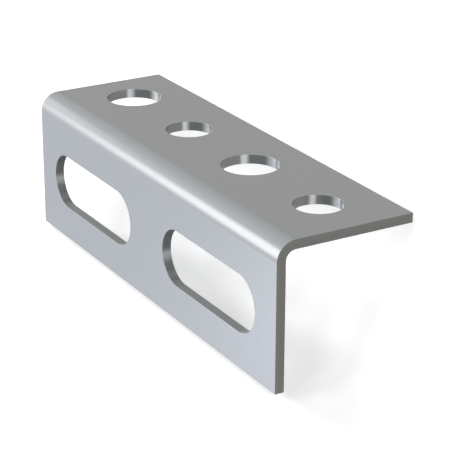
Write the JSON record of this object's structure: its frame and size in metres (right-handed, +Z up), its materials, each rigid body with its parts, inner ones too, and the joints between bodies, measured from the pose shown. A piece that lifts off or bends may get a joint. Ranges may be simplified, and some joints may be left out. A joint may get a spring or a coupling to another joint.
{
  "type": "slotted angle",
  "caption": "Short bent-sheet steel angle with a row of round bolt holes in one leg and long adjustment slots in the other.",
  "frame": {"origin": "on the floor, under the middle of the angle as it rests on the free edges of both legs", "axes": "+X along the length, from the end with a large hole to the end with a small hole; +Z up, through the bend; the slotted leg slopes down towards -Y and the holed leg towards +Y"},
  "size_m": [0.1, 0.0426, 0.0211],
  "materials": {
    "zinc_plated_steel": "bright satin zinc on cold-rolled sheet, bare grey on the punched and sheared edges"
  },
  "bodies": {
    "root": {"slotted_angle": "zinc_plated_steel"}
  },
  "joints": []
}
